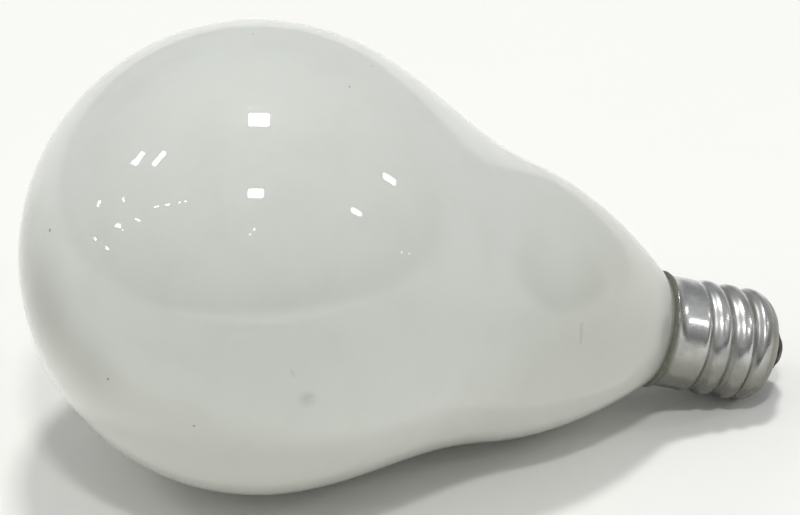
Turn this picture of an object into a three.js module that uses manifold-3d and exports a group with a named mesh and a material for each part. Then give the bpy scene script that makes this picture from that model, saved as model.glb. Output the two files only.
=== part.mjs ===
// A dead incandescent lamp: a white pear-shaped bulb 47.6 mm across on a 12 mm candelabra screw cap.
//
// Lengths are millimetres and angles are degrees. Each piece is drawn round the lamp's own axis, with
// the globe's centre at zero and +Y towards the cap. The whole lamp is then laid down on a flat surface,
// +Z up and the cap towards +X, where it touches with its globe and with the last turn of its thread.
// The origin is on that surface, below the middle of the lamp.
//
// The sealed bulb can't be seen into, so it is one solid. What hangs inside it, the glass stem and the
// broken coil, isn't drawn. The cap is drawn as it comes apart: shell, cement, insulator, contact,
// solder and the two lead wires.
import * as THREE from "three";
import { mergeVertices } from "three/addons/utils/BufferGeometryUtils.js";
import Module from "manifold-3d";

const wasm = await Module();
wasm.setup();

// How fine the round stretches are. Bulb and cap both lie on the middle of a flat.
const BULB_FLATS = 50;
const CAP_FLATS = 34;
const CURVE_STEPS = 8; // along each curve of an outline
const THREAD_ROWS = 9; // for each turn of the thread
const WIRE_FLATS = 8;
const WIRE_STEPS = 40;
const BEAD_FLATS = 20;
const TIP_HALVINGS = 40; // in finding the angle at which the lamp lies

// Fits
const GAP = 0.08; // between pieces that touch

// Bulb
const GLOBE_D = 47.6;
const GLOBE_END = 17.5; // degrees past the widest place, where the globe turns into the waist
const WAIST_D = 29.1;
const WAIST_AT = 26.8; // from the globe's centre to the gentlest place of the waist
const WAIST_SLOPE = 0.22; // radius lost per millimetre there
const CAP_AT = 44; // from the globe's centre to the rim of the shell
const CAP_SLOPE = 0.81; // radius lost per millimetre where the glass meets the rim
const WAIST_BEND = 8; // how far the curve from globe to waist follows the slope at its ends
const SHOULDER_BEND = 6.7; // the same for the curve from waist to rim

// Screw shell, rolled from sheet
const WALL = 0.28;
const SHELL_LENGTH = 12;
const SKIRT_D = 11.5;
const SKIRT_LENGTH = 3.2;
const FLARE = 0.35; // how far the rim stands out from the skirt
const FLARE_LENGTH = 1.3;
const THREAD_D = 11.8; // over the crests
const THREAD_DEPTH = 0.48;
const THREAD_BREADTH = 1.5; // above 1 its crests are broader than its grooves
const THREAD_PITCH = 2.54; // right-handed, ten turns to the inch
const THREAD_CREST_AT = 5.1; // from the rim to the first crest, on the lamp's upper side
const THREAD_RUN_IN = 1.2;
const THREAD_RUN_OUT = 1;
const END_LENGTH = 2.7; // the stretch that closes in on the insulator
const END_D = 9.3;
const END_ROUNDNESS = 2.6;
const CEMENT_BELOW_RIM = 0.1; // where the cement starts

// Sealed neck inside the cap
const CEMENT_THICKNESS = 0.92; // between the straight neck and the skirt
const NECK_CLEARANCE = 0.5; // the least between neck and thread, where the side wire runs
const NECK_FROM_RIM = 2.4; // where the neck has become straight
const NECK_TO = 6.6; // from the rim to the seal's edge
const SEAL_R = 0.55; // the seal's rounded edge
const FUNNEL_DEPTH = 4; // the hollow of the stem, open towards the cap
const FUNNEL_D = 4.4; // at its bottom
const TUBE_D = 2.3; // the exhaust tube, melted shut
const TUBE_PAST_SEAL = 1;

// Insulator, a black glass disc with a cone
const INSULATOR_INSIDE = 2.5; // how far it reaches into the shell
const INSULATOR_OUTSIDE = 1; // how far its face stands out of the shell
const INSULATOR_FACE_D = 5.2;
const INSULATOR_CROWN = 0.12; // how far the cone's side bulges

// Centre contact and its solder
const CONTACT_D = 4.7;
const CONTACT_THICKNESS = 0.25;
const SPIGOT_D = 1.7;
const SPIGOT_LENGTH = 0.9;
const SPIGOT_BORE = 0.9;
const SOLDER_D = 3.7;
const SOLDER_HEIGHT = 0.75;
const SOLDER_SHOULDER_D = 3.4; // the smaller, the rounder the dome
const SOLDER_FLAT_D = 1.7; // where the lampholder's spring has flattened it

// Lead wires
const CENTRE_WIRE_D = 0.3;
const SIDE_WIRE_D = 0.2;
const SIDE_WIRE_TURNED = 78; // degrees from the upper side to the wire, on the far side
const ROUND_SEAL_TURNED = [150, 90, 30]; // degrees, where that wire goes round the seal's edge
const SIDE_SOLDER = { around: 1.25, along: 0.85, out: 0.72 }; // half sizes of the bead on the rim

// Materials
const paint = (color, roughness, metalness) =>
  new THREE.MeshStandardMaterial({ color, roughness, metalness });
const WHITE_GLASS = paint(0xc9ccc6, 0.08, 0);
const SHEET_METAL = paint(0xa3a6a5, 0.3, 1);
const CEMENT = paint(0x6f6c5a, 0.9, 0);
const BLACK_GLASS = paint(0x17181a, 0.2, 0);
const BRASS = paint(0xb59a5c, 0.35, 1);
const SOLDER = paint(0xb4b6b8, 0.4, 1);
const NICKEL = paint(0x9c9a95, 0.3, 1);

const radians = THREE.MathUtils.degToRad;
const smooth = THREE.MathUtils.smoothstep;
const lerp = THREE.MathUtils.lerp;
const at = (radius, along) => new THREE.Vector2(radius, along);
const lamp = new THREE.Group();

function add(name, geometry, material) {
  const mesh = new THREE.Mesh(geometry, material);
  mesh.name = name;
  lamp.add(mesh);
  return mesh;
}

// A turned solid from an outline of (radius, along) points, with the middle of a flat facing down
function turned(outline, flats = CAP_FLATS) {
  return new THREE.LatheGeometry(outline, flats, Math.PI / flats);
}

function solid(geometry) {
  const bare = geometry.clone();
  bare.deleteAttribute("normal");
  bare.deleteAttribute("uv");
  const merged = mergeVertices(bare, 1e-4);
  return new wasm.Manifold(
    new wasm.Mesh({
      numProp: 3,
      vertProperties: merged.attributes.position.array,
      triVerts: new Uint32Array(merged.index.array),
    }),
  );
}

function surface(made) {
  const { numProp, vertProperties, triVerts } = made.getMesh();
  const count = vertProperties.length / numProp;
  const places = new Float32Array(count * 3);
  for (let i = 0; i < count; i++) {
    places.set(vertProperties.subarray(i * numProp, i * numProp + 3), i * 3);
  }
  return new THREE.BufferGeometry()
    .setAttribute("position", new THREE.BufferAttribute(places, 3))
    .setIndex(new THREE.BufferAttribute(triVerts, 1));
}

// A point beside the axis, turned round it from the lamp's upper side towards the far side
function beside(radius, along, turn) {
  const angle = radians(turn);
  return new THREE.Vector3(-radius * Math.sin(angle), along, radius * Math.cos(angle));
}

// A round wire through points
function wire(points, diameter) {
  const section = new THREE.Shape().absarc(0, 0, diameter / 2, 0, 2 * Math.PI);
  const path = new THREE.CatmullRomCurve3(points, false, "centripetal");
  return new THREE.ExtrudeGeometry(section, {
    curveSegments: WIRE_FLATS / 2,
    steps: WIRE_STEPS,
    bevelEnabled: false,
    extrudePath: path,
  });
}

// Outer radius of the shell at a distance from the rim, turned round from the upper side
function shellRadius(fromRim, turn) {
  const flare = Math.max(0, 1 - fromRim / FLARE_LENGTH) ** 2;
  const skirt = SKIRT_D / 2 + FLARE * flare;
  const turns = (fromRim - THREAD_CREST_AT) / THREAD_PITCH + turn / 360;
  const groove = ((1 - Math.cos(2 * Math.PI * turns)) / 2) ** THREAD_BREADTH;
  const thread = THREAD_D / 2 - THREAD_DEPTH * groove;
  const endFrom = SHELL_LENGTH - END_LENGTH;
  const closed = Math.max(0, (fromRim - endFrom) / END_LENGTH) ** END_ROUNDNESS;
  const end = lerp(THREAD_D, END_D, closed) / 2;
  const begun = smooth(fromRim, SKIRT_LENGTH, SKIRT_LENGTH + THREAD_RUN_IN);
  const ended = smooth(fromRim, endFrom, endFrom + THREAD_RUN_OUT);
  return lerp(lerp(skirt, thread, begun), end, ended);
}

// How steeply the shell's radius changes along the axis
function shellSlope(fromRim, turn) {
  const step = WALL / 20;
  const before = Math.max(0, fromRim - step);
  const after = Math.min(SHELL_LENGTH, fromRim + step);
  return (shellRadius(after, turn) - shellRadius(before, turn)) / (after - before);
}

// The inner side of the sheet lies one wall below the outer side, square to it
function shellInside(fromRim, turn) {
  const slope = shellSlope(fromRim, turn);
  const lean = Math.hypot(1, slope);
  return at(shellRadius(fromRim, turn) - WALL / lean, fromRim + (WALL * slope) / lean);
}

// Distances from the rim at which the shell's section is drawn
function shellRows() {
  const threadEnd = SHELL_LENGTH - END_LENGTH + THREAD_RUN_OUT;
  const threadRows = Math.round(((threadEnd - SKIRT_LENGTH) / THREAD_PITCH) * THREAD_ROWS);
  const stretches = [
    [0, FLARE_LENGTH, 3],
    [FLARE_LENGTH, SKIRT_LENGTH, 1],
    [SKIRT_LENGTH, threadEnd, threadRows],
    [threadEnd, SHELL_LENGTH, 4],
  ];
  const rows = stretches.flatMap(([from, to, steps]) =>
    Array.from({ length: steps }, (_, i) => lerp(from, to, i / steps)),
  );
  return [...rows, SHELL_LENGTH];
}

// The shell's section goes down the outside and back up the inside, and its thread winds round
function screwShell() {
  const rows = shellRows();
  const ring = 2 * rows.length;
  const places = [];
  const faces = [];
  for (let i = 0; i < CAP_FLATS; i++) {
    const turn = (360 * (i + 0.5)) / CAP_FLATS;
    const outside = rows.map((row) => at(shellRadius(row, turn), row));
    const inside = rows.map((row) => shellInside(row, turn)).reverse();
    for (const p of [...outside, ...inside]) places.push(beside(p.x, CAP_AT + p.y, turn));
    for (let j = 0; j < ring; j++) {
      const here = i * ring + j;
      const next = i * ring + ((j + 1) % ring);
      const over = (here + ring) % (ring * CAP_FLATS);
      const overNext = (next + ring) % (ring * CAP_FLATS);
      faces.push(here, next, over, next, overNext, over);
    }
  }
  return new THREE.BufferGeometry().setFromPoints(places).setIndex(faces);
}

// What the thread and the skirt leave free inside
const THREAD_FREE_R = THREAD_D / 2 - THREAD_DEPTH - WALL;
const SKIRT_FREE_R = SKIRT_D / 2 - WALL;

// The glass takes its place in the cap from the shell. At the rim it is as wide as the skirt's bore,
// and the flare leaves the ring of cement that shows.
const GLASS_AT_RIM_R = SKIRT_FREE_R;
const NECK_R = Math.min(SKIRT_FREE_R - CEMENT_THICKNESS, THREAD_FREE_R - NECK_CLEARANCE);
const SEAL_AT = CAP_AT + NECK_TO;
const FUNNEL_AT = SEAL_AT - FUNNEL_DEPTH;
const TIP_AT = SEAL_AT + TUBE_PAST_SEAL;

// Carries an outline on to a point. It loses radius at the first slope where it starts and at the
// second where it ends, and bend is how far it follows each of them.
function ease(outline, startSlope, endSlope, end, bend) {
  const start = outline.currentPoint;
  const first = bend / Math.hypot(1, startSlope);
  const last = bend / Math.hypot(1, endSlope);
  return outline.bezierCurveTo(
    start.x - first * startSlope, start.y + first,
    end.x + last * endSlope, end.y - last,
    end.x, end.y,
  );
}

// Bulb outline from the crown to the rim of the shell, and on to where the neck is straight,
// moved outwards by a clearance
function bulbSide(clearance = 0) {
  const globeEnd = radians(GLOBE_END);
  const waist = at(WAIST_D / 2 + clearance, WAIST_AT);
  const rim = at(GLASS_AT_RIM_R + clearance, CAP_AT);
  const neck = at(NECK_R + clearance, CAP_AT + NECK_FROM_RIM);
  const outline = new THREE.Path();
  outline.absarc(0, 0, GLOBE_D / 2 + clearance, -Math.PI / 2, globeEnd);
  ease(outline, Math.tan(globeEnd), WAIST_SLOPE, waist, WAIST_BEND);
  ease(outline, WAIST_SLOPE, CAP_SLOPE, rim, SHOULDER_BEND);
  ease(outline, CAP_SLOPE, 0, neck, NECK_FROM_RIM / 3);
  return outline.getPoints(CURVE_STEPS);
}

// The sealed bulb: its side, the rounded seal, the stem's hollow and the exhaust tube's closed tip
function glassBulb() {
  const tubeR = TUBE_D / 2;
  const end = new THREE.Path();
  end.absarc(NECK_R - SEAL_R, SEAL_AT - SEAL_R, SEAL_R, 0, Math.PI);
  end.lineTo(FUNNEL_D / 2, FUNNEL_AT);
  end.lineTo(tubeR, FUNNEL_AT);
  end.absarc(0, TIP_AT - tubeR, tubeR, 0, Math.PI / 2);
  return turned([...bulbSide(), ...end.getPoints(CURVE_STEPS / 4)], BULB_FLATS);
}

// The room that the bulb takes up, with a clearance round it
function bulbRoom() {
  return turned([...bulbSide(GAP), at(NECK_R + GAP, SEAL_AT), at(0, SEAL_AT)], BULB_FLATS);
}

// A black glass disc inside the shell, and the cone that its end closes round
function insulator() {
  const end = shellInside(SHELL_LENGTH, 0);
  const discR = THREAD_FREE_R - GAP;
  const throatR = end.x - GAP;
  const faceR = INSULATOR_FACE_D / 2;
  const boreR = SPIGOT_D / 2 + GAP;
  const inside = CAP_AT + SHELL_LENGTH - INSULATOR_INSIDE;
  const throat = CAP_AT + end.y;
  const cone = CAP_AT + SHELL_LENGTH - GAP;
  const face = CAP_AT + SHELL_LENGTH + INSULATOR_OUTSIDE;
  const crown = at(
    (throatR + faceR) / 2 + INSULATOR_CROWN,
    (cone + face) / 2 + INSULATOR_CROWN,
  );
  const coneSide = new THREE.QuadraticBezierCurve(at(throatR, cone), crown, at(faceR, face));
  return turned([
    at(boreR, inside),
    at(discR, inside),
    at(discR, throat - (discR - throatR)),
    at(throatR, throat),
    ...coneSide.getPoints(CURVE_STEPS / 2),
    at(boreR, face),
    at(boreR, inside),
  ]);
}

const CONTACT_AT = CAP_AT + SHELL_LENGTH + INSULATOR_OUTSIDE + GAP;
const SOLDER_AT = CONTACT_AT + CONTACT_THICKNESS + GAP;

// A brass washer with a short tube that sits in the insulator's hole
function centreContact() {
  const boreR = SPIGOT_BORE / 2;
  const tubeR = SPIGOT_D / 2;
  const tubeEnd = CONTACT_AT - SPIGOT_LENGTH;
  const face = CONTACT_AT + CONTACT_THICKNESS;
  return turned([
    at(boreR, tubeEnd),
    at(tubeR, tubeEnd),
    at(tubeR, CONTACT_AT),
    at(CONTACT_D / 2, CONTACT_AT),
    at(CONTACT_D / 2, face),
    at(boreR, face),
    at(boreR, tubeEnd),
  ]);
}

// A low dome with a flat, where the lampholder's contact presses
function contactSolder() {
  const top = SOLDER_AT + SOLDER_HEIGHT;
  const dome = new THREE.QuadraticBezierCurve(
    at(SOLDER_D / 2, SOLDER_AT),
    at(SOLDER_SHOULDER_D / 2, top),
    at(SOLDER_FLAT_D / 2, top),
  );
  return turned([at(0, SOLDER_AT), ...dome.getPoints(CURVE_STEPS / 2), at(0, top)]);
}

// Both wires leave the stem half way between the exhaust tube and the side of the stem's hollow
const WIRE_OUT = (TUBE_D + FUNNEL_D) / 4;

// The side wire goes from the stem round the seal's edge and back along the glass to the rim
function sideWirePath(end) {
  const offGlass = GAP + SIDE_WIRE_D / 2;
  const edge = at(NECK_R - SEAL_R, SEAL_AT - SEAL_R);
  const roundSeal = ROUND_SEAL_TURNED.map(radians).map((angle) =>
    at(Math.cos(angle), Math.sin(angle)).multiplyScalar(SEAL_R + offGlass).add(edge),
  );
  const alongGlass = bulbSide(offGlass).filter((p) => p.y > end).reverse();
  return [
    at(WIRE_OUT, FUNNEL_AT + SIDE_WIRE_D),
    ...roundSeal,
    at(NECK_R + offGlass, edge.y),
    ...alongGlass,
  ].map((p) => beside(p.x, p.y, SIDE_WIRE_TURNED));
}

// The centre wire goes from the stem through the insulator to the underside of the solder
function centreWirePath() {
  const turn = SIDE_WIRE_TURNED + 180;
  const inside = CAP_AT + SHELL_LENGTH - INSULATOR_INSIDE;
  return [
    at(WIRE_OUT, FUNNEL_AT + CENTRE_WIRE_D),
    at(WIRE_OUT, TIP_AT - TUBE_D / 2),
    at(WIRE_OUT / 2, (TIP_AT + inside) / 2),
    at(0, inside + CENTRE_WIRE_D),
    at(0, SOLDER_AT - GAP),
  ].map((p) => beside(p.x, p.y, turn));
}

// Cement fills the ring between neck and skirt, with a channel where the side wire runs
function cement() {
  const from = CEMENT_BELOW_RIM;
  const rows = shellRows().filter((row) => row > from && row < SKIRT_LENGTH);
  const side = [from, ...rows, SKIRT_LENGTH]
    .map((row) => shellInside(row, 0))
    .map((p) => at(p.x - GAP, CAP_AT + p.y));
  const plug = turned([at(0, side[0].y), ...side, at(0, side.at(-1).y)]);
  const channel = wire(sideWirePath(CAP_AT - SIDE_WIRE_D), SIDE_WIRE_D + 2 * GAP);
  return surface(solid(plug).subtract(solid(bulbRoom())).subtract(solid(channel)));
}

// A bead of solder that clings to the rim and to the glass above it
function sideSolder() {
  const { around, along, out } = SIDE_SOLDER;
  const rimR = SKIRT_D / 2 + FLARE;
  const place = beside(rimR, CAP_AT, SIDE_WIRE_TURNED);
  const bead = new THREE.SphereGeometry(1, BEAD_FLATS, BEAD_FLATS / 2);
  bead.scale(around, along, out);
  bead.rotateY(-radians(SIDE_WIRE_TURNED));
  bead.translate(place.x, place.y, place.z);
  const skirt = shellRows()
    .filter((row) => row <= SKIRT_LENGTH)
    .map((row) => at(shellRadius(row, 0) + GAP, CAP_AT + row));
  const shellRoom = turned([
    at(0, CAP_AT - GAP),
    at(rimR + GAP, CAP_AT - GAP),
    ...skirt,
    at(0, skirt.at(-1).y),
  ]);
  return surface(solid(bead).subtract(solid(shellRoom)).subtract(solid(bulbRoom())));
}

const bulb = add("glass_bulb", glassBulb(), WHITE_GLASS);
const shell = add("screw_shell", screwShell(), SHEET_METAL);
add("basing_cement", cement(), CEMENT);
add("insulator", insulator(), BLACK_GLASS);
add("centre_contact", centreContact(), BRASS);
add("contact_solder", contactSolder(), SOLDER);
add("side_solder", sideSolder(), SOLDER);
add("centre_lead_wire", wire(centreWirePath(), CENTRE_WIRE_D), NICKEL);
add("side_lead_wire", wire(sideWirePath(CAP_AT), SIDE_WIRE_D), NICKEL);

// How far a piece reaches down when the lamp is tipped cap down by an angle
function reach(mesh, tip) {
  const places = mesh.geometry.getAttribute("position");
  let most = -Infinity;
  for (let i = 0; i < places.count; i++) {
    most = Math.max(most, places.getY(i) * Math.sin(tip) - places.getZ(i) * Math.cos(tip));
  }
  return most;
}

// The lamp tips until its shell reaches as far down as its globe
function restingTip() {
  let low = 0;
  let high = Math.PI / 3;
  for (let i = 0; i < TIP_HALVINGS; i++) {
    const middle = (low + high) / 2;
    if (reach(shell, middle) < reach(bulb, middle)) low = middle;
    else high = middle;
  }
  return (low + high) / 2;
}

lamp.rotation.z = -Math.PI / 2;
const lying = new THREE.Group().add(lamp);
lying.rotation.y = restingTip();
const part = new THREE.Group().add(lying);

// The origin goes to the middle of the lamp's underside
const box = new THREE.Box3().setFromObject(part, true);
const middle = box.getCenter(new THREE.Vector3());
lying.position.set(-middle.x, -middle.y, -box.min.z);

export default part;
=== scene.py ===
import math

import bmesh
import bpy
from mathutils import Euler, Matrix, Vector


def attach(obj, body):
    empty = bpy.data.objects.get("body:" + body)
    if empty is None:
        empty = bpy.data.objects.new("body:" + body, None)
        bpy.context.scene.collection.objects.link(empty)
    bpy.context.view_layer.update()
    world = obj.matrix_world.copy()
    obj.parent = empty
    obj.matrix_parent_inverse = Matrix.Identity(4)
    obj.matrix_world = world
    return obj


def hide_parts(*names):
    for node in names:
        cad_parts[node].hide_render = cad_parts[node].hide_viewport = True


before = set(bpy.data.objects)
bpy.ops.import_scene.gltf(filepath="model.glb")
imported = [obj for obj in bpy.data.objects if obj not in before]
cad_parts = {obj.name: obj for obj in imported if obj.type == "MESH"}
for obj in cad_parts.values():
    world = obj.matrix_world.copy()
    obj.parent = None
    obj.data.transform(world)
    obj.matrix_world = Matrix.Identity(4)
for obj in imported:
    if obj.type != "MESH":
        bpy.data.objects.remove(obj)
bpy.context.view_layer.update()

MM = 0.001
BODY = "root"

# Where the lamp lies
GLOBE_CENTRE = (-15.668, 0.0, 23.743)
CAP_DIPS = 19.688
# A smooth round piece stays on the surface that the frame's flats rest on
BULB_FIT = 0.9968
CAP_FIT = 0.9925

# Bulb
GLOBE_D = 47.6
GLOBE_END = 17.5
WAIST_D = 29.1
WAIST_AT = 26.8
WAIST_SLOPE = 0.22
WAIST_BEND = 8.0
CAP_AT = 44.0
CAP_SLOPE = 0.81
SHOULDER_BEND = 6.7

# Screw shell
WALL = 0.28
SHELL_LENGTH = 12.0
SKIRT_D = 11.5
SKIRT_LENGTH = 3.2
FLARE = 0.35
FLARE_LENGTH = 1.3
THREAD_D = 11.8
THREAD_DEPTH = 0.48
THREAD_BREADTH = 1.5
THREAD_PITCH = 2.54
THREAD_CREST_AT = 5.1
THREAD_RUN_IN = 1.2
THREAD_RUN_OUT = 1.0
END_LENGTH = 2.7
END_D = 9.3
END_ROUNDNESS = 2.6

# Sealed neck
THREAD_FREE_R = THREAD_D / 2 - THREAD_DEPTH - WALL
SKIRT_FREE_R = SKIRT_D / 2 - WALL
CEMENT_THICKNESS = 0.92
NECK_CLEARANCE = 0.5
NECK_R = min(SKIRT_FREE_R - CEMENT_THICKNESS, THREAD_FREE_R - NECK_CLEARANCE)
GLASS_AT_RIM_R = SKIRT_FREE_R
NECK_FROM_RIM = 2.4
NECK_TO = 6.6
SEAL_R = 0.55
FUNNEL_DEPTH = 4.0
FUNNEL_D = 4.4
TUBE_D = 2.3
TUBE_PAST_SEAL = 1.0

# Bead of cement that came out at the rim. Its waves are the count round it, where they start and a height.
BEAD_WIDTH = 0.37
BEAD_WIDEST = 238.0
BEAD_ONE_SIDED = 0.3
BEAD_UNEVEN = 0.15
BEAD_WAVES = [(3, 1, 0.5), (7, 2, 0.3), (13, 0, 0.2)]
BEAD_BELOW_RIM = 0.15

# Insulator, contact and solder
GAP = 0.08
INSULATOR_INSIDE = 2.5
INSULATOR_OUTSIDE = 1.0
INSULATOR_FACE_D = 5.2
INSULATOR_CROWN = 0.12
INSULATOR_FACE_EDGE = (0.02, 0.08)
BORE_EDGE = 0.1
SPIGOT_D = 1.7
CONTACT_THICKNESS = 0.25
SOLDER_D = 3.7
SOLDER_HEIGHT = 0.75
SOLDER_SHOULDER_D = 3.4
SOLDER_FLAT_D = 1.7
SOLDER_FLAT_HOLLOW = 0.02

# Solder of the side wire: where it sits on the rim, and its half sizes along, around and out from it
SIDE_TURNED = 78.0
SIDE_SOLDER = (0.85, 1.25, 0.72)
SIDE_LUMPS = 0.05
SIDE_FOOT = 0.3

# How fine the turned pieces are: flats round them, and rows along each stretch
BULB_ROUND = 256
CAP_ROUND = 240
GLOBE_ROWS = 110
WAIST_ROWS = 40
SHOULDER_ROWS = 50
NECK_ROWS = 14
SEAL_ROWS = 8
TUBE_TIP_ROWS = 10
SHELL_ROWS = 168
BEAD_ROWS = 10
CONE_ROWS = 16
SOLDER_ROWS = 20
SLOPE_STEP = WALL / 20

LAMP = Matrix.Translation(Vector(GLOBE_CENTRE) * MM) @ Matrix.Rotation(math.radians(CAP_DIPS), 4, "Y")


# Shapes


def lerp(start, end, share):
    return start + (end - start) * share


def smooth(value, low, high):
    share = min(1.0, max(0.0, (value - low) / (high - low)))
    return share * share * (3 - 2 * share)


def bezier(points, rows):
    """Points of a curve through any number of control points, without the first."""
    made = []
    for i in range(1, rows + 1):
        share = i / rows
        level = [Vector(p) for p in points]
        while len(level) > 1:
            level = [a.lerp(b, share) for a, b in zip(level, level[1:])]
        made.append(level[0])
    return made


def ease(start, start_slope, end_slope, end, bend, rows):
    """Carries an outline on to a point, as (along, radius), losing radius at these slopes."""
    first = bend / math.hypot(1, start_slope)
    last = bend / math.hypot(1, end_slope)
    near = (start[0] + first, start[1] - first * start_slope)
    far = (end[0] - last, end[1] + last * end_slope)
    return bezier([start, near, far, end], rows)


def arc(centre, radius, start, end, rows):
    angles = [math.radians(lerp(start, end, i / rows)) for i in range(rows + 1)]
    return [Vector((centre[0] + radius * math.sin(a), centre[1] + radius * math.cos(a))) for a in angles]


def turned(name, outline, flats, fit):
    """A turned mesh from an outline of (along, radius) points, laid down as the lamp lies."""
    made = bmesh.new()
    rings = []
    for along, radius in outline:
        if radius < 1e-6:
            rings.append([made.verts.new((along * MM, 0, 0))])
            continue
        ring = []
        for i in range(flats):
            angle = 2 * math.pi * i / flats
            place = (along, radius * fit * math.sin(angle), radius * fit * math.cos(angle))
            ring.append(made.verts.new(Vector(place) * MM))
        rings.append(ring)
    for near, far in zip(rings, rings[1:]):
        for i in range(flats):
            j = (i + 1) % flats
            corners = [near[i % len(near)], near[j % len(near)], far[j % len(far)], far[i % len(far)]]
            corners = list(dict.fromkeys(corners))
            if len(corners) > 2:
                made.faces.new(corners)
    bmesh.ops.recalc_face_normals(made, faces=made.faces)
    return piece(name, made)


def piece(name, made):
    mesh = bpy.data.meshes.new(name)
    made.to_mesh(mesh)
    made.free()
    mesh.shade_smooth()
    mesh.transform(LAMP)
    added = bpy.data.objects.new(name, mesh)
    bpy.context.scene.collection.objects.link(added)
    return added


def glass_outline():
    """Crown, globe, waist and shoulder, then the neck, its seal, the stem's hollow and the closed tube."""
    globe_r = GLOBE_D / 2
    side = arc((0, 0), globe_r, -90, GLOBE_END, GLOBE_ROWS)
    side[0][1] = 0
    globe_slope = math.tan(math.radians(GLOBE_END))
    side += ease(side[-1], globe_slope, WAIST_SLOPE, (WAIST_AT, WAIST_D / 2), WAIST_BEND, WAIST_ROWS)
    side += ease(side[-1], WAIST_SLOPE, CAP_SLOPE, (CAP_AT, GLASS_AT_RIM_R), SHOULDER_BEND, SHOULDER_ROWS)
    neck = (CAP_AT + NECK_FROM_RIM, NECK_R)
    side += ease(side[-1], CAP_SLOPE, 0, neck, NECK_FROM_RIM / 3, NECK_ROWS)
    seal = CAP_AT + NECK_TO
    side += arc((seal - SEAL_R, NECK_R - SEAL_R), SEAL_R, 0, 90, SEAL_ROWS)
    side += arc((seal - SEAL_R, NECK_R - SEAL_R), SEAL_R, 90, 180, SEAL_ROWS)[1:]
    side += [Vector((seal - FUNNEL_DEPTH, FUNNEL_D / 2)), Vector((seal - FUNNEL_DEPTH, TUBE_D / 2))]
    tip = arc((seal + TUBE_PAST_SEAL - TUBE_D / 2, 0), TUBE_D / 2, 0, 90, TUBE_TIP_ROWS)
    tip[-1][1] = 0
    return side + tip


def shell_radius(from_rim, turn):
    flare = max(0.0, 1 - from_rim / FLARE_LENGTH) ** 2
    skirt = SKIRT_D / 2 + FLARE * flare
    turns = (from_rim - THREAD_CREST_AT) / THREAD_PITCH + turn / 360
    groove = ((1 - math.cos(2 * math.pi * turns)) / 2) ** THREAD_BREADTH
    thread = THREAD_D / 2 - THREAD_DEPTH * groove
    end_from = SHELL_LENGTH - END_LENGTH
    closed = max(0.0, (from_rim - end_from) / END_LENGTH) ** END_ROUNDNESS
    end = lerp(THREAD_D, END_D, closed) / 2
    begun = smooth(from_rim, SKIRT_LENGTH, SKIRT_LENGTH + THREAD_RUN_IN)
    ended = smooth(from_rim, end_from, end_from + THREAD_RUN_OUT)
    return lerp(lerp(skirt, thread, begun), end, ended)


def swept(name, loop, flats, fit):
    """A ring with a closed outline of (along, radius) points that may change with the turn."""
    made = bmesh.new()
    sections = []
    for i in range(flats):
        turn = 360 * i / flats
        angle = math.radians(turn)
        section = []
        for along, radius in loop(turn):
            place = Vector((along, radius * fit * math.sin(angle), radius * fit * math.cos(angle)))
            section.append(made.verts.new(place * MM))
        sections.append(section)
    for near, far in zip(sections, sections[1:] + sections[:1]):
        for i in range(len(near)):
            j = (i + 1) % len(near)
            made.faces.new([near[i], near[j], far[j], far[i]])
    bmesh.ops.recalc_face_normals(made, faces=made.faces)
    return piece(name, made)


def sheet_loop(turn):
    """The rolled sheet's outside and inside, a wall apart."""
    outside = []
    inside = []
    for i in range(SHELL_ROWS + 1):
        row = SHELL_LENGTH * i / SHELL_ROWS
        before, after = max(0.0, row - SLOPE_STEP), min(SHELL_LENGTH, row + SLOPE_STEP)
        slope = (shell_radius(after, turn) - shell_radius(before, turn)) / (after - before)
        outer = Vector((CAP_AT + row, shell_radius(row, turn)))
        outside.append(outer)
        inside.append(outer + Vector((slope, -1)) * WALL / math.hypot(1, slope))
    return outside + inside[::-1]


def bead_loop(turn):
    """Cement that came out of the rim and dried on the glass, widest on the lying lamp's under side."""
    angle = math.radians(turn)
    uneven = sum(height * math.sin(count * angle + start) for count, start, height in BEAD_WAVES)
    one_sided = math.cos(angle - math.radians(BEAD_WIDEST))
    width = BEAD_WIDTH * (1 + BEAD_ONE_SIDED * one_sided + BEAD_UNEVEN * uneven)
    glass_r = GLASS_AT_RIM_R - GAP
    top = Vector((CAP_AT - width, glass_r + CAP_SLOPE * width))
    rim = Vector((CAP_AT + GAP / 4, SKIRT_D / 2 + FLARE - GAP / 2))
    crown = Vector((CAP_AT - width / 2, rim[1] + GAP))
    in_rim = Vector((rim[0], rim[1] - WALL - GAP))
    below = Vector((CAP_AT + BEAD_BELOW_RIM, glass_r))
    return [top, *bezier([top, crown, rim], BEAD_ROWS), in_rim, below]


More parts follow.
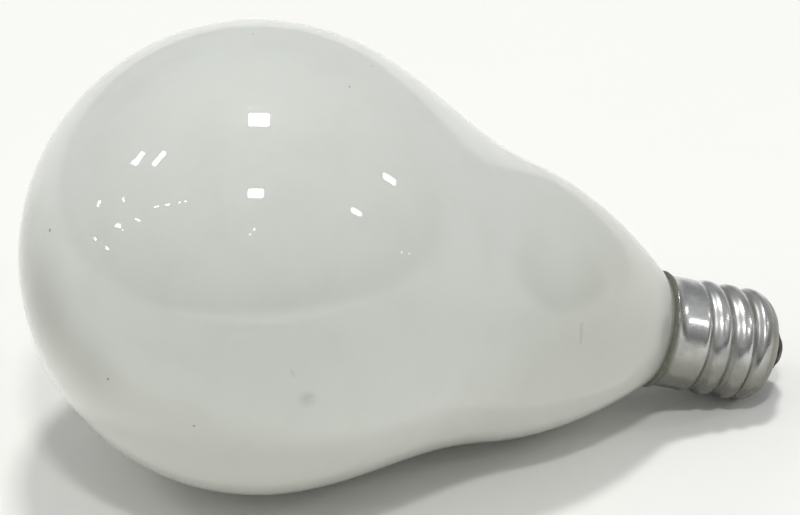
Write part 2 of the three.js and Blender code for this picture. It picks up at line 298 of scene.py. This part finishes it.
def insulator_outline():
    """A disc inside the shell and the cone that the shell's end closes round, with a hole."""
    slope = (shell_radius(SHELL_LENGTH, 0) - shell_radius(SHELL_LENGTH - SLOPE_STEP, 0)) / SLOPE_STEP
    lean = math.hypot(1, slope)
    throat_r = shell_radius(SHELL_LENGTH, 0) - WALL / lean - GAP
    throat = CAP_AT + SHELL_LENGTH + WALL * slope / lean
    disc_r = THREAD_FREE_R - GAP
    bore_r = SPIGOT_D / 2 + GAP
    face_r = INSULATOR_FACE_D / 2
    inside = CAP_AT + SHELL_LENGTH - INSULATOR_INSIDE
    cone = CAP_AT + SHELL_LENGTH - GAP
    face = CAP_AT + SHELL_LENGTH + INSULATOR_OUTSIDE
    middle = Vector(((cone + face) / 2, (throat_r + face_r) / 2))
    crown = middle + Vector((INSULATOR_CROWN, INSULATOR_CROWN))
    rise, inset = INSULATOR_FACE_EDGE
    side = [(inside, bore_r), (inside, disc_r), (throat - disc_r + throat_r, disc_r), (throat, throat_r)]
    side += [(cone, throat_r), *bezier([(cone, throat_r), crown, (face, face_r)], CONE_ROWS)]
    side += [(face + rise, face_r - inset), (face, bore_r + BORE_EDGE), (face - BORE_EDGE, bore_r)]
    return [*side, (inside, bore_r)]


def solder_outline():
    """A low dome, flattened where the lampholder's spring pressed on it."""
    contact = CAP_AT + SHELL_LENGTH + INSULATOR_OUTSIDE + GAP
    foot = contact + CONTACT_THICKNESS + GAP
    top = foot + SOLDER_HEIGHT
    shoulder = (top, SOLDER_SHOULDER_D / 2)
    dome = bezier([(foot, SOLDER_D / 2), shoulder, (top, SOLDER_FLAT_D / 2)], SOLDER_ROWS)
    flat = [(top - SOLDER_FLAT_HOLLOW, SOLDER_FLAT_D / 4), (top, 0)]
    return [(foot, 0), (foot, SOLDER_D / 2), *dome, *flat]


def side_bead():
    """Solder that set over the rim and the end of its wire: a lumpy dome that widens towards its foot."""
    made = bmesh.new()
    bmesh.ops.create_icosphere(made, subdivisions=4, radius=1.0)
    turn = math.radians(SIDE_TURNED)
    out = Vector((0, math.sin(turn), math.cos(turn)))
    axes = (Vector((1, 0, 0)), Vector((0, math.cos(turn), -math.sin(turn))), out)
    rim = Vector((CAP_AT, 0, 0)) + out * (SKIRT_D / 2 + FLARE) * CAP_FIT
    for vert in made.verts:
        along, around, height = vert.co
        lumps = 1 + SIDE_LUMPS * (math.sin(4 * along + 1) + math.sin(5 * around) * math.cos(3 * height))
        foot = lumps * (1 + SIDE_FOOT * max(0.0, 0.5 - abs(height)))
        place = rim.copy()
        for axis, half, share in zip(axes, SIDE_SOLDER, (along * foot, around * foot, height * lumps)):
            place += axis * half * share
        vert.co = place * MM
    return piece("side_solder_bead", made)


# Materials


def linear(colour):
    """An sRGB hex colour as linear red, green, blue and alpha."""
    shares = [((colour >> shift) & 255) / 255 for shift in (16, 8, 0)]
    return [s / 12.92 if s <= 0.04045 else ((s + 0.055) / 1.055) ** 2.4 for s in shares] + [1.0]


def plug(tree, sockets, inputs):
    """Gives sockets, by name or number, a value or a link from an output or a node's first output."""
    for name, value in inputs.items():
        if isinstance(value, bpy.types.Node):
            value = next(output for output in value.outputs if output.enabled)
        if isinstance(value, bpy.types.NodeSocket):
            tree.links.new(value, sockets[name])
        else:
            sockets[name].default_value = value


def node(tree, kind, inputs=(), **settings):
    """Adds a shader node with its settings, then its values and links."""
    added = tree.nodes.new("ShaderNode" + kind)
    for name, value in settings.items():
        setattr(added, name, value)
    plug(tree, added.inputs, dict(inputs))
    return added


def material(name):
    """A new material, its tree and shader, and the place on the lamp's own axis."""
    made = bpy.data.materials.new(name)
    made.use_nodes = True
    tree = made.node_tree
    place = node(tree, "TexCoord").outputs["Object"]
    turn = (0, math.radians(CAP_DIPS), 0)
    lies = {"Vector": place, "Location": Vector(GLOBE_CENTRE) * MM, "Rotation": turn}
    own = node(tree, "Mapping", lies, vector_type="TEXTURE")
    return made, tree, tree.nodes["Principled BSDF"], own


# Settings that many nodes share
SMOOTH = {"interpolation_type": "SMOOTHSTEP"}
TIMES = {"operation": "MULTIPLY"}
PLUS = {"operation": "ADD"}
TWO_COLOURS = {"data_type": "RGBA"}


def patches(size, detail=3.0, rough=0.55):
    """Values of a noise with patches of this many millimetres."""
    return {"Scale": 1 / (size * MM), "Detail": detail, "Roughness": rough}


def steps(start, end, to_start=0.0, to_end=1.0):
    """Values of a change from one level to another, where something goes from start to end."""
    return {"From Min": start, "From Max": end, "To Min": to_start, "To Max": to_end}


def tint(tree, colour, shade, where, share):
    """Lays a shade over a colour. share is how much of it shows where the mask is 1."""
    factor = node(tree, "Math", {0: where, 1: share}, **TIMES)
    return node(tree, "Mix", {0: factor, 6: colour, 7: linear(shade)}, **TWO_COLOURS)


def spot(tree, place, centre, radius, soft=0.5):
    """1 inside a spot on the surface and 0 outside it. soft is how much of it is the fading edge."""
    away = node(tree, "VectorMath", {0: place, 1: [c * MM for c in centre]}, operation="DISTANCE")
    edge = steps(radius * (1 - soft) * MM, radius * MM, 1.0, 0.0)
    return node(tree, "MapRange", {"Value": away, **edge}, **SMOOTH)


def streak(tree, place, start, end, radius):
    """1 on the line between two places, fading to 0 at a radius from it."""
    first, second = Vector(start) * MM, Vector(end) * MM
    run = second - first
    from_start = node(tree, "VectorMath", {0: place, 1: first}, operation="SUBTRACT")
    along = {0: from_start, 1: run / run.length_squared}
    share = node(tree, "MapRange", {"Value": node(tree, "VectorMath", along, operation="DOT_PRODUCT")})
    nearest = node(tree, "VectorMath", {0: run, "Scale": share}, operation="SCALE")
    away = node(tree, "VectorMath", {0: from_start, 1: nearest}, operation="DISTANCE")
    edge = steps(0.0, radius * MM, 1.0, 0.0)
    return node(tree, "MapRange", {"Value": away, **edge}, **SMOOTH)


# Coated glass. A share is how much of a tone shows where it is strongest.
GLASS_THIN = 0xD3D6CF
GLASS_FULL = 0xD7DAD3
COATING_CLOUDS = patches(16.0)
GLASS_AT_NECK = 0xC8CAC1
TOWARDS_NECK = steps(16 * MM, 36 * MM)
# Dust tone of the film, also used for the painted shade on the under side.
DUST_AND_SHADE = 0xA9A796
FILM_PATCHES = patches(5.0, 5.0)
FILM_SHOWS = steps(0.45, 0.75)
FILM_SHARE = 0.07
FILM_ROUGH = steps(0.0, 1.0, 0.28, 0.4)
# Painted shade: the glass is greyer low on its under side.
PAINTED_UNDER_SHADE = steps(-10 * MM, -4 * MM, 1.0, 0.0)
UNDER_SHADE_SHARE = 0.22
CEMENT_OLIVE = 0x67695C
# The glass turns olive over the last four millimetres towards the cap.
OLIVE_TOWARDS_CAP = steps(40.2 * MM, 44.2 * MM)
OLIVE_TOWARDS_CAP_SHARE = 0.6
COATING_SHARE = 0.6
COATING_SPREAD = (1.0, 1.0, 0.9)
COATING_DEPTH = 12.0
WAVES = patches(9.0, 1.0)
WAVE_DEPTH = 0.05
WAVE_STRENGTH = 0.35

# Marks on the glass: place on the lamp's own axis, then radius. Specks are dark. Flecks are painted
# glints, pale dots where small lamps would reflect.
GRIME = 0x4A473C
SPECKS = [
    ((-23.35, -4.42, 1.26), 0.24),
    ((-16.48, -15.18, -8.0), 0.2),
    ((-8.49, -20.53, -8.5), 0.17),
    ((0.62, -5.15, 23.22), 0.16),
    ((4.28, -0.02, 23.41), 0.16),
    ((-7.16, 4.07, 22.33), 0.16),
]
SPECK_SHARE = 0.7
# Painted glints: pale dots where small lamps would reflect.
GLINT_WHITE = 0xFBFCFA
PAINTED_GLINTS = [
    ((6.24, -18.6, 13.4), 0.19),
    ((7.14, -18.4, 13.3), 0.18),
]
SMUDGE = (0.34, -23.74, -1.56)
SMUDGE_R = 1.3
SMUDGE_EDGE = 0.9
SMUDGE_PATCHES = patches(0.7)
SMUDGE_SHARE = 0.3

# Lines on it, from place to place: radius, share and colour. Two are a painted reflection, a grey band
# near the crown for a darker floor mirrored in the glass, and two are faint wiped streaks.
# Grey of the painted reflection near the crown.
PAINTED_REFLECTION_GREY = 0x93968B
LINES = [
    ((-23.5, 1.2, -3.2), (-22.4, -5.2, -6.1), 8.5, 0.45, PAINTED_REFLECTION_GREY),
    ((-22.4, -5.2, -6.1), (-18.4, -12.8, -7.9), 6.5, 0.3, PAINTED_REFLECTION_GREY),
    ((30.13, -12.35, 5.72), (30.53, -12.88, 3.97), 0.3, 0.16, GRIME),
    ((-2.3, -23.64, 1.2), (-1.9, -23.69, 0.7), 0.3, 0.12, GRIME),
]


def soft_white_glass():
    """Soda-lime glass, blown, with a baked white coating inside: milky and even, under sharp
    reflections from the smooth outside. Handling has left specks, a smudge and a thin film. Painted into
    its colour are shade on the under side, glints and a reflection near the crown. It turns olive towards
    the cap."""
    made, tree, shader, place = material("soft_white_coated_glass")
    along, _, height = node(tree, "SeparateXYZ", {0: place}).outputs
    clouds = node(tree, "TexNoise", {"Vector": place, **COATING_CLOUDS})
    colour = node(tree, "Mix", {0: clouds, 6: linear(GLASS_THIN), 7: linear(GLASS_FULL)}, **TWO_COLOURS)
    to_neck = node(tree, "MapRange", {"Value": along, **TOWARDS_NECK}, **SMOOTH)
    colour = tint(tree, colour, GLASS_AT_NECK, to_neck, 1.0)
    film = node(tree, "TexNoise", {"Vector": place, **FILM_PATCHES})
    film = node(tree, "MapRange", {"Value": film, **FILM_SHOWS}, **SMOOTH)
    colour = tint(tree, colour, DUST_AND_SHADE, film, FILM_SHARE)
    # Painted shade, greyer low on the under side.
    under = node(tree, "MapRange", {"Value": height, **PAINTED_UNDER_SHADE}, **SMOOTH)
    colour = tint(tree, colour, DUST_AND_SHADE, under, UNDER_SHADE_SHARE)
    for centre, radius in SPECKS:
        colour = tint(tree, colour, GRIME, spot(tree, place, centre, radius), SPECK_SHARE)
    # Painted glints: pale dots where small lamps would reflect.
    for centre, radius in PAINTED_GLINTS:
        colour = tint(tree, colour, GLINT_WHITE, spot(tree, place, centre, radius), 1.0)
    grime = node(tree, "TexNoise", {"Vector": place, **SMUDGE_PATCHES})
    smudge = spot(tree, place, SMUDGE, SMUDGE_R, SMUDGE_EDGE)
    smudge = node(tree, "Math", {0: smudge, 1: grime}, **TIMES)
    colour = tint(tree, colour, GRIME, smudge, SMUDGE_SHARE)
    # The first two lines are a painted reflection near the crown, the others wiped streaks.
    for start, end, radius, share, shade in LINES:
        colour = tint(tree, colour, shade, streak(tree, place, start, end, radius), share)
    # Olive towards the cap.
    at_cap = node(tree, "MapRange", {"Value": along, **OLIVE_TOWARDS_CAP}, **SMOOTH)
    colour = tint(tree, colour, CEMENT_OLIVE, at_cap, OLIVE_TOWARDS_CAP_SHARE)
    waves = node(tree, "TexNoise", {"Vector": place, **WAVES})
    bump = {"Height": waves, "Distance": WAVE_DEPTH * MM, "Strength": WAVE_STRENGTH}
    normal = node(tree, "Bump", bump)
    look = {
        "Base Color": colour,
        "Roughness": node(tree, "MapRange", {"Value": film, **FILM_ROUGH}, **SMOOTH),
        "Subsurface Weight": COATING_SHARE,
        "Subsurface Radius": COATING_SPREAD,
        "Subsurface Scale": COATING_DEPTH * MM,
        "IOR": 1.52,
        "Specular IOR Level": 0.05,
        "Coat Weight": 1.0,
        "Coat IOR": 1.55,
        "Coat Roughness": 0.005,
        "Normal": normal,
        "Coat Normal": normal,
    }
    plug(tree, shader.inputs, look)
    return made


# Rolled sheet
SHEET = 0xE4E4E1
SHEET_DULL = 0xC0C1BE
DULL_PATCHES = patches(2.2, 4.0)
DULL_SHOWS = steps(0.35, 0.7)
SHEET_ROUGH = steps(0.3, 0.7, 0.2, 0.32)
# Tarnish in the grooves. The same tone is painted shade on the under side and at the end.
TARNISH_AND_SHADE = 0x7E7D76
IN_GROOVE = steps(5.40 * MM, 5.62 * MM, 1.0, 0.0)
PAST_SKIRT = steps((CAP_AT + 3.4) * MM, (CAP_AT + 4.2) * MM)
GROOVE_SHARE = 0.6
GROOVE_ROUGHER = 0.15
# Painted shade: the cap is darker on its under side.
CAP_PAINTED_UNDER_SHADE = steps(-1.6 * MM, 4.4 * MM, 1.0, 0.0)
CAP_UNDER_SHADE_SHARE = 0.9
# Painted shade: the cap is darker towards its end.
PAINTED_END_SHADE = steps((CAP_AT + 9.4) * MM, (CAP_AT + 11.2) * MM)
END_SHADE_SHARE = 0.55
AT_RIM = steps((CAP_AT + 0.15) * MM, (CAP_AT + 0.6) * MM, 1.0, 0.0)
RIM_SHARE = 0.7
MARKS = patches(0.25, 4.0, 0.6)
MARKS_RUN_ROUND = (6, 1, 1)
MARK_HEIGHT = 0.12
DENTS = patches(1.6, 2.0)
DENT_DEPTH = 0.05
DENT_STRENGTH = 0.4


def rolled_sheet():
    """Thin plated sheet, rolled into the thread: bright, slightly dull from handling, with fine marks
    round it, darker where dirt and tarnish stay in the grooves, and with painted shade on the under side
    and at the end."""
    made, tree, shader, place = material("rolled_plated_sheet")
    along, across, height = node(tree, "SeparateXYZ", {0: place}).outputs
    squares = [node(tree, "Math", {0: side, 1: side}, **TIMES) for side in (across, height)]
    radius = node(tree, "Math", {0: squares[0], 1: squares[1]}, **PLUS)
    radius = node(tree, "Math", {0: radius}, operation="SQRT")
    groove = node(tree, "MapRange", {"Value": radius, **IN_GROOVE}, **SMOOTH)
    past_skirt = node(tree, "MapRange", {"Value": along, **PAST_SKIRT}, **SMOOTH)
    groove = node(tree, "Math", {0: groove, 1: past_skirt}, **TIMES)
    worn = node(tree, "TexNoise", {"Vector": place, **DULL_PATCHES})
    dull = node(tree, "MapRange", {"Value": worn, **DULL_SHOWS}, **SMOOTH)
    colour = node(tree, "Mix", {0: dull, 6: linear(SHEET), 7: linear(SHEET_DULL)}, **TWO_COLOURS)
    colour = tint(tree, colour, TARNISH_AND_SHADE, groove, GROOVE_SHARE)
    # Painted shade on the under side.
    under = node(tree, "MapRange", {"Value": height, **CAP_PAINTED_UNDER_SHADE}, **SMOOTH)
    colour = tint(tree, colour, TARNISH_AND_SHADE, under, CAP_UNDER_SHADE_SHARE)
    # Painted shade at the end.
    at_end = node(tree, "MapRange", {"Value": along, **PAINTED_END_SHADE}, **SMOOTH)
    colour = tint(tree, colour, TARNISH_AND_SHADE, at_end, END_SHADE_SHARE)
    at_rim = node(tree, "MapRange", {"Value": along, **AT_RIM}, **SMOOTH)
    colour = tint(tree, colour, CEMENT_OLIVE, at_rim, RIM_SHARE)
    rough = node(tree, "MapRange", {"Value": worn, **SHEET_ROUGH}, **SMOOTH)
    rougher = node(tree, "Math", {0: groove, 1: GROOVE_ROUGHER}, **TIMES)
    drawn_out = node(tree, "Mapping", {"Vector": place, "Scale": MARKS_RUN_ROUND})
    marks = node(tree, "TexNoise", {"Vector": drawn_out, **MARKS})
    marks = node(tree, "Math", {0: marks, 1: MARK_HEIGHT}, **TIMES)
    dents = node(tree, "TexNoise", {"Vector": place, **DENTS})
    relief = node(tree, "Math", {0: marks, 1: dents}, **PLUS)
    bump = {"Height": relief, "Distance": DENT_DEPTH * MM, "Strength": DENT_STRENGTH}
    look = {
        "Base Color": colour,
        "Metallic": 1.0,
        "Roughness": node(tree, "Math", {0: rough, 1: rougher}, **PLUS),
        "Normal": node(tree, "Bump", bump),
    }
    plug(tree, shader.inputs, look)
    return made


# Basing cement. Its grain is drawn coarser than that of marble powder, so that it shows.
CEMENT_PALE = 0x74766A
CEMENT_GRAIN = patches(0.4, 5.0)
GRAIN_SHOWS = steps(0.35, 0.65)
GRAIN_DEPTH = 0.08


def cement():
    """Basing cement, a resin and marble paste baked hard: matt, brown-olive and slightly grainy."""
    made, tree, shader, place = material("baked_basing_cement")
    grain = node(tree, "TexNoise", {"Vector": place, **CEMENT_GRAIN})
    pale = node(tree, "MapRange", {"Value": grain, **GRAIN_SHOWS}, **SMOOTH)
    tones = {0: pale, 6: linear(CEMENT_OLIVE), 7: linear(CEMENT_PALE)}
    look = {
        "Base Color": node(tree, "Mix", tones, **TWO_COLOURS),
        "Roughness": 0.85,
        "Normal": node(tree, "Bump", {"Height": grain, "Distance": GRAIN_DEPTH * MM}),
    }
    plug(tree, shader.inputs, look)
    return made


# Black glass
INSULATOR_BLACK = 0x0E0E10
INSULATOR_GREY = 0x1E1F22
FLOW = patches(1.5)
FLOW_ROUGH = steps(0.3, 0.7, 0.1, 0.3)
FLOW_DEPTH = 0.06


def black_glass():
    """Black slag glass, pressed hot: deep and glossy with faint flow marks."""
    made, tree, shader, place = material("pressed_black_glass")
    flow = node(tree, "TexNoise", {"Vector": place, **FLOW})
    tones = {0: flow, 6: linear(INSULATOR_BLACK), 7: linear(INSULATOR_GREY)}
    look = {
        "Base Color": node(tree, "Mix", tones, **TWO_COLOURS),
        "Roughness": node(tree, "MapRange", {"Value": flow, **FLOW_ROUGH}, **SMOOTH),
        "IOR": 1.55,
        "Normal": node(tree, "Bump", {"Height": flow, "Distance": FLOW_DEPTH * MM}),
    }
    plug(tree, shader.inputs, look)
    return made


# Brass, solder and wire. Their grain is drawn coarser than it is, so that it shows.
TONE_PATCHES = patches(0.8, 4.0)
TONE_SHOWS = steps(0.35, 0.65)
METAL_GRAIN = patches(0.35, 4.0)
METAL_GRAIN_DEPTH = 0.05


def dull_metal(name, light, dark, smoothest, roughest):
    """Metal that has dulled in the air: two tones in small patches, the darker the rougher."""
    made, tree, shader, place = material(name)
    tone = node(tree, "TexNoise", {"Vector": place, **TONE_PATCHES})
    tone = node(tree, "MapRange", {"Value": tone, **TONE_SHOWS}, **SMOOTH)
    rough = {"Value": tone, **steps(0.0, 1.0, smoothest, roughest)}
    grain = node(tree, "TexNoise", {"Vector": place, **METAL_GRAIN})
    look = {
        "Base Color": node(tree, "Mix", {0: tone, 6: linear(light), 7: linear(dark)}, **TWO_COLOURS),
        "Metallic": 1.0,
        "Roughness": node(tree, "MapRange", rough, **SMOOTH),
        "Normal": node(tree, "Bump", {"Height": grain, "Distance": METAL_GRAIN_DEPTH * MM}),
    }
    plug(tree, shader.inputs, look)
    return made


GLASS = soft_white_glass()
SHEET_METAL = rolled_sheet()
CEMENT = cement()
BLACK_GLASS = black_glass()
BRASS = dull_metal("stamped_brass", 0x6E6248, 0x3E3A2F, 0.35, 0.55)
WORN_SOLDER = dull_metal("pressed_and_burnt_tin_solder", 0x7C7D7E, 0x505152, 0.35, 0.55)
SOLDER = dull_metal("cast_tin_solder", 0xB4B6B7, 0x86888A, 0.3, 0.45)
LEAD_WIRE = dull_metal("drawn_nickel_wire", 0xA9A8A2, 0x807E78, 0.25, 0.4)


# Pieces


def dress(added, finish, slot, *nodes):
    """Gives a piece its material. It rides on the lamp, in the place of these nodes. Its slot is not used.
    """
    added.data.materials.clear()
    added.data.materials.append(finish)
    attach(added, BODY)
    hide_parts(*nodes)


bulb = turned("blown_glass_bulb", glass_outline(), BULB_ROUND, BULB_FIT)
dress(bulb, GLASS, "soft_white_glass", "glass_bulb")
shell = swept("rolled_screw_shell", sheet_loop, CAP_ROUND, CAP_FIT)
dress(shell, SHEET_METAL, "cap_sheet", "screw_shell")
bead = swept("squeezed_cement_bead", bead_loop, CAP_ROUND, CAP_FIT)
dress(bead, CEMENT, "cement")
cone = turned("insulator_cone", insulator_outline(), CAP_ROUND, CAP_FIT)
dress(cone, BLACK_GLASS, "black_glass", "insulator")
dome = turned("contact_solder_dome", solder_outline(), CAP_ROUND, CAP_FIT)
dress(dome, WORN_SOLDER, "solder", "contact_solder")
dress(side_bead(), SOLDER, "solder", "side_solder")
for name, finish in {
    "basing_cement": CEMENT,
    "centre_contact": BRASS,
    "centre_lead_wire": LEAD_WIRE,
    "side_lead_wire": LEAD_WIRE,
}.items():
    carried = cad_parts[name]
    carried.data.materials.clear()
    carried.data.materials.append(finish)


# Floor, light and camera

FLOOR_R = 6.0
FLOOR_WHITE = 0xFAF9F5
FLOOR_SHADE = 0xF8F7F3
FLOOR_CLOUDS = patches(40.0)
# The room: walls that are pale low down and dimmer above and behind, and a part that is darker low down.
# That part is an oval round a direction, wider across than it is high, from low in front to high behind.
WALLS_LOW = 1.4
WALLS_BEHIND = 0.5
WALLS_HIGH = 0.33
WALLS_LOW_TO_FRONT = -0.35
WALLS_LOW_BEHIND = 0.25
WALLS_LOW_TO = 0.12
WALLS_HIGH_FROM = 0.35
DARK_EDGE = 0.02
DARK_INSIDE = 0.42
DARK_LOW_TO = 0.1
DARK_HIGH_FROM = 0.45
DARK_SIDE = -4.0
DARK_UP = 64.5
DARK_WIDE = 86.0
DARK_HIGH = 59.0
DARK_SOFT = 0.12
ROOM_WHITE = 0xFAFCFF

# Small bright lamps of the room, seen from the globe: degrees round to the right from the front and
# degrees up, then width and height in degrees, roll and radiance
LAMP_DISTANCE = 3.0
LAMPS = [
    ((159.80, 78.36), 7.5, 7.0, 9, 72),
    ((-11.43, 62.93), 6.4, 3.8, -1, 88),
    ((173.21, 71.29), 1.9, 1.2, 10, 2),
    ((-115.34, 40.49), 5.6, 2.6, -49, 22),
    ((-115.35, 37.92), 1.7, 1.2, -30, 14),
    ((-107.96, 49.43), 6.8, 2.4, -56, 22),
    ((84.63, 30.96), 6.0, 2.7, -80, 26),
    ((54.04, 36.34), 5.2, 2.0, -63, 26),
    ((-109.83, 18.20), 2.1, 1.6, -47, 14),
    ((-99.72, 29.20), 2.1, 0.9, -16, 12),
    ((-92.80, 21.22), 3.1, 1.5, 30, 16),
    ((-89.32, 21.38), 0.8, 0.5, 35, 26),
    ((-84.93, 29.33), 2.8, 0.8, 19, 14),
    ((-100.62, 9.50), 1.3, 0.6, 4, 26),
    ((-91.94, 11.19), 2.2, 0.7, 13, 22),
    ((-80.53, 39.03), 2.3, 0.7, 46, 12),
    ((-75.46, 43.05), 2.5, 0.7, 42, 14),
    ((-69.71, 47.10), 0.8, 0.6, 34, 28),
    ((-66.68, 49.15), 0.9, 0.6, 32, 28),
    ((-15.67, 43.13), 0.7, 0.7, 0, 28),
    ((-13.22, 45.31), 0.7, 0.7, 0, 28),
]


def towards(side, up):
    """A direction, by degrees round to the right from the front and degrees up."""
    side, up = math.radians(side), math.radians(up)
    return Vector((math.sin(side) * math.cos(up), -math.cos(side) * math.cos(up), math.sin(up)))


def floor():
    made = bmesh.new()
    bmesh.ops.create_circle(made, cap_ends=True, segments=96, radius=FLOOR_R)
    mesh = bpy.data.meshes.new("pale_floor")
    made.to_mesh(mesh)
    made.free()
    added = bpy.data.objects.new("pale_floor", mesh)
    bpy.context.scene.collection.objects.link(added)
    mesh.materials.append(white_board())


def white_board():
    """Matt white board, faintly uneven: it takes a soft shadow and gives no reflection."""
    made, tree, shader, place = material("matt_white_board")
    clouds = node(tree, "TexNoise", {"Vector": place, **FLOOR_CLOUDS})
    tones = {0: clouds, 6: linear(FLOOR_WHITE), 7: linear(FLOOR_SHADE)}
    look = {
        "Base Color": node(tree, "Mix", tones, **TWO_COLOURS),
        "Roughness": 0.9,
        "Specular IOR Level": 0.2,
    }
    plug(tree, shader.inputs, look)
    return made


def room_lamp(place, wide, high, roll, radiance, number):
    light = bpy.data.lights.new(f"room_lamp_{number}", "AREA")
    light.shape = "RECTANGLE"
    light.size = 2 * LAMP_DISTANCE * math.tan(math.radians(wide) / 2)
    light.size_y = 2 * LAMP_DISTANCE * math.tan(math.radians(high) / 2)
    light.energy = radiance * math.pi * light.size * light.size_y
    added = bpy.data.objects.new(light.name, light)
    bpy.context.scene.collection.objects.link(added)
    outwards = towards(*place)
    added.location = Vector(GLOBE_CENTRE) * MM + outwards * LAMP_DISTANCE
    added.rotation_mode = "QUATERNION"
    turn = Euler((0, 0, math.radians(roll))).to_quaternion()
    added.rotation_quaternion = (-outwards).to_track_quat("-Z", "Y") @ turn


def room():
    world = bpy.data.worlds.new("soft_room")
    bpy.context.scene.world = world
    world.use_nodes = True
    tree = world.node_tree
    way = node(tree, "TexCoord").outputs["Generated"]
    _, behind, up = node(tree, "SeparateXYZ", {0: way}).outputs
    low = steps(WALLS_LOW_TO_FRONT, WALLS_LOW_BEHIND, WALLS_LOW, WALLS_BEHIND)
    low = node(tree, "MapRange", {"Value": behind, **low}, **SMOOTH)
    walls = steps(WALLS_LOW_TO, WALLS_HIGH_FROM, low, WALLS_HIGH)
    walls = node(tree, "MapRange", {"Value": up, **walls}, **SMOOTH)
    dark = steps(DARK_LOW_TO, DARK_HIGH_FROM, DARK_EDGE, DARK_INSIDE)
    dark = node(tree, "MapRange", {"Value": up, **dark}, **SMOOTH)
    light = node(tree, "Mix", {0: dark_part(tree, way), 2: walls, 3: dark})
    plug(tree, tree.nodes["Background"].inputs, {"Strength": light, "Color": linear(ROOM_WHITE)})


def dark_part(tree, way):
    """1 in the darker part of the room and 0 outside it, by direction."""
    across = towards(DARK_SIDE + 90, 0)
    ahead = towards(DARK_SIDE, DARK_UP)
    over = across.cross(-ahead)
    parts = []
    for axis in (across, over, ahead):
        parts.append(node(tree, "VectorMath", {0: way, 1: axis}, operation="DOT_PRODUCT"))
    wide = node(tree, "Math", {0: parts[0], 1: parts[2]}, operation="ARCTAN2")
    high = node(tree, "Math", {0: parts[1]}, operation="ARCSINE")
    squares = []
    for angle, half in ((wide, DARK_WIDE), (high, DARK_HIGH)):
        share = node(tree, "Math", {0: angle, 1: math.radians(half)}, operation="DIVIDE")
        squares.append(node(tree, "Math", {0: share, 1: share}, **TIMES))
    reach = node(tree, "Math", {0: squares[0], 1: squares[1]}, **PLUS)
    edge = steps(1 - DARK_SOFT, 1 + DARK_SOFT, 1.0, 0.0)
    return node(tree, "MapRange", {"Value": reach, **edge}, **SMOOTH)


def camera():
    view = bpy.data.cameras.new("camera")
    view.lens = LENS
    view.sensor_width = SENSOR
    view.clip_start = 0.01
    view.clip_end = 50
    added = bpy.data.objects.new("camera", view)
    bpy.context.scene.collection.objects.link(added)
    back = towards(AZIMUTH, ELEVATION)
    added.location = (Vector(AIM) + back * CAMERA_DISTANCE) * MM
    added.rotation_mode = "QUATERNION"
    added.rotation_quaternion = (-back).to_track_quat("-Z", "Y")
    bpy.context.scene.camera = added


AZIMUTH = -13.53
ELEVATION = 32.39
CAMERA_DISTANCE = 600.0
AIM = (-1.80, -3.33, 23.72)
LENS = 270.7
SENSOR = 36.0

floor()
room()
for number, lamp in enumerate(LAMPS, 1):
    room_lamp(*lamp, number)
camera()
bpy.context.scene.view_settings.view_transform = "Standard"
